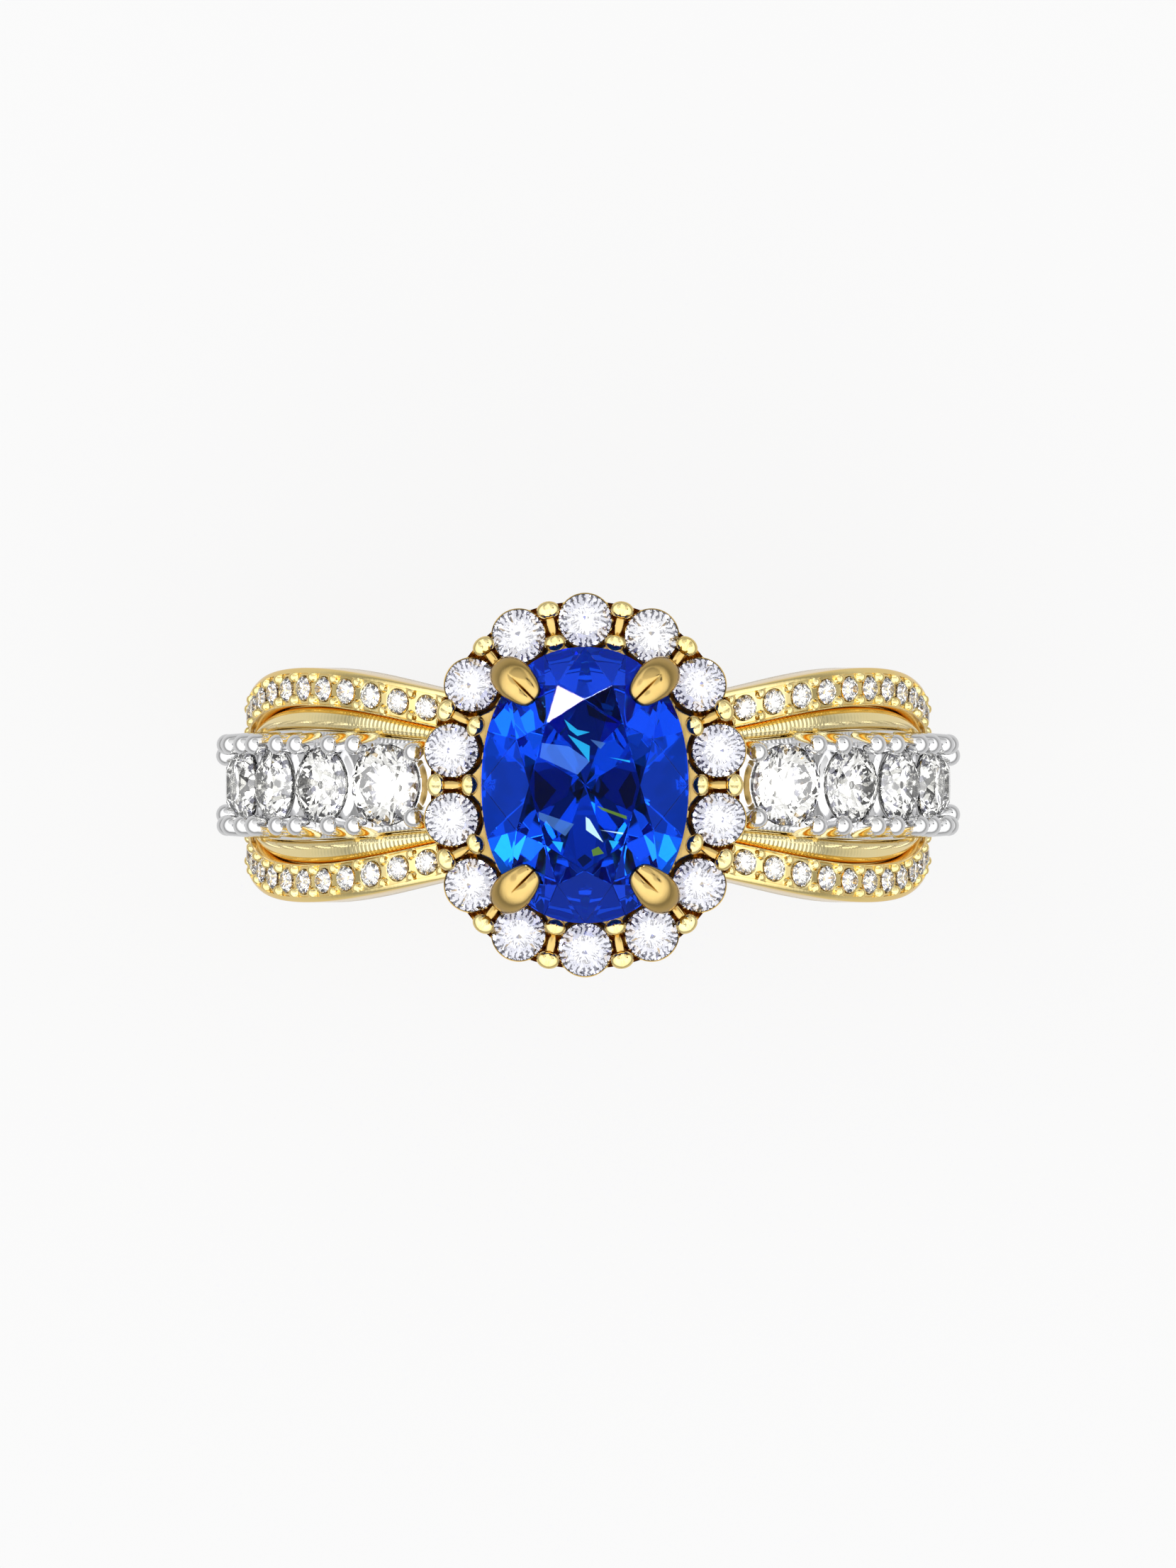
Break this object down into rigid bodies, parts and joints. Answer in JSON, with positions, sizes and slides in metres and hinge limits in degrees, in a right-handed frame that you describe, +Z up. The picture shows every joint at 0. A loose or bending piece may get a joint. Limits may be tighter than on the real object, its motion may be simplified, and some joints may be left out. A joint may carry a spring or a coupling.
{
  "type": "engagement ring",
  "caption": "Two-tone cluster ring: oval blue sapphire in a round diamond halo, on split shoulders with a raised white diamond row between yellow pave rails.",
  "frame": {"origin": "centre of the finger hole, halfway along its length", "axes": "+Z up from the finger through the head, +X across the shoulders to the wearer's right as drawn, +Y along the finger towards the back of the ring"},
  "size_m": [0.0216, 0.0112, 0.0229],
  "materials": {
    "yellow_gold": "polished yellow gold with milled and bright-cut edges",
    "satin_gold": "satin, darker antique yellow gold",
    "white_gold": "polished rhodium-white gold",
    "diamond": "clear colourless brilliant and single cut stones",
    "sapphire": "transparent vivid royal blue brilliant cut stone"
  },
  "bodies": {
    "root": {"shank": "yellow_gold", "rail_front_left": "yellow_gold", "rail_back_left": "yellow_gold", "rail_front_right": "yellow_gold", "rail_back_right": "yellow_gold", "milgrain_wire_front_left": "yellow_gold", "milgrain_wire_back_left": "yellow_gold", "milgrain_wire_front_right": "yellow_gold", "milgrain_wire_back_right": "yellow_gold", "channel_left": "white_gold", "channel_right": "white_gold", "gallery_rail": "yellow_gold", "basket_ring": "yellow_gold", "halo_plate": "yellow_gold", "gallery_post_front": "yellow_gold", "gallery_post_back": "yellow_gold", "claw_front_left": "satin_gold", "claw_back_left": "satin_gold", "claw_front_right": "satin_gold", "claw_back_right": "satin_gold", "centre_sapphire": "sapphire", "halo_diamond_01": "diamond", "halo_diamond_02": "diamond", "halo_diamond_03": "diamond", "halo_diamond_04": "diamond", "halo_diamond_05": "diamond", "halo_diamond_06": "diamond", "halo_diamond_07": "diamond", "halo_diamond_08": "diamond", "halo_diamond_09": "diamond", "halo_diamond_10": "diamond", "halo_diamond_11": "diamond", "halo_diamond_12": "diamond", "halo_diamond_13": "diamond", "halo_diamond_14": "diamond", "row_diamond_left_1": "diamond", "row_diamond_left_2": "diamond", "row_diamond_left_3": "diamond", "row_diamond_left_4": "diamond", "row_diamond_left_5": "diamond", "row_diamond_right_1": "diamond", "row_diamond_right_2": "diamond", "row_diamond_right_3": "diamond", "row_diamond_right_4": "diamond", "row_diamond_right_5": "diamond", "melee_row_front_left": "diamond", "melee_row_back_left": "diamond", "melee_row_front_right": "diamond", "melee_row_back_right": "diamond"}
  },
  "joints": []
}
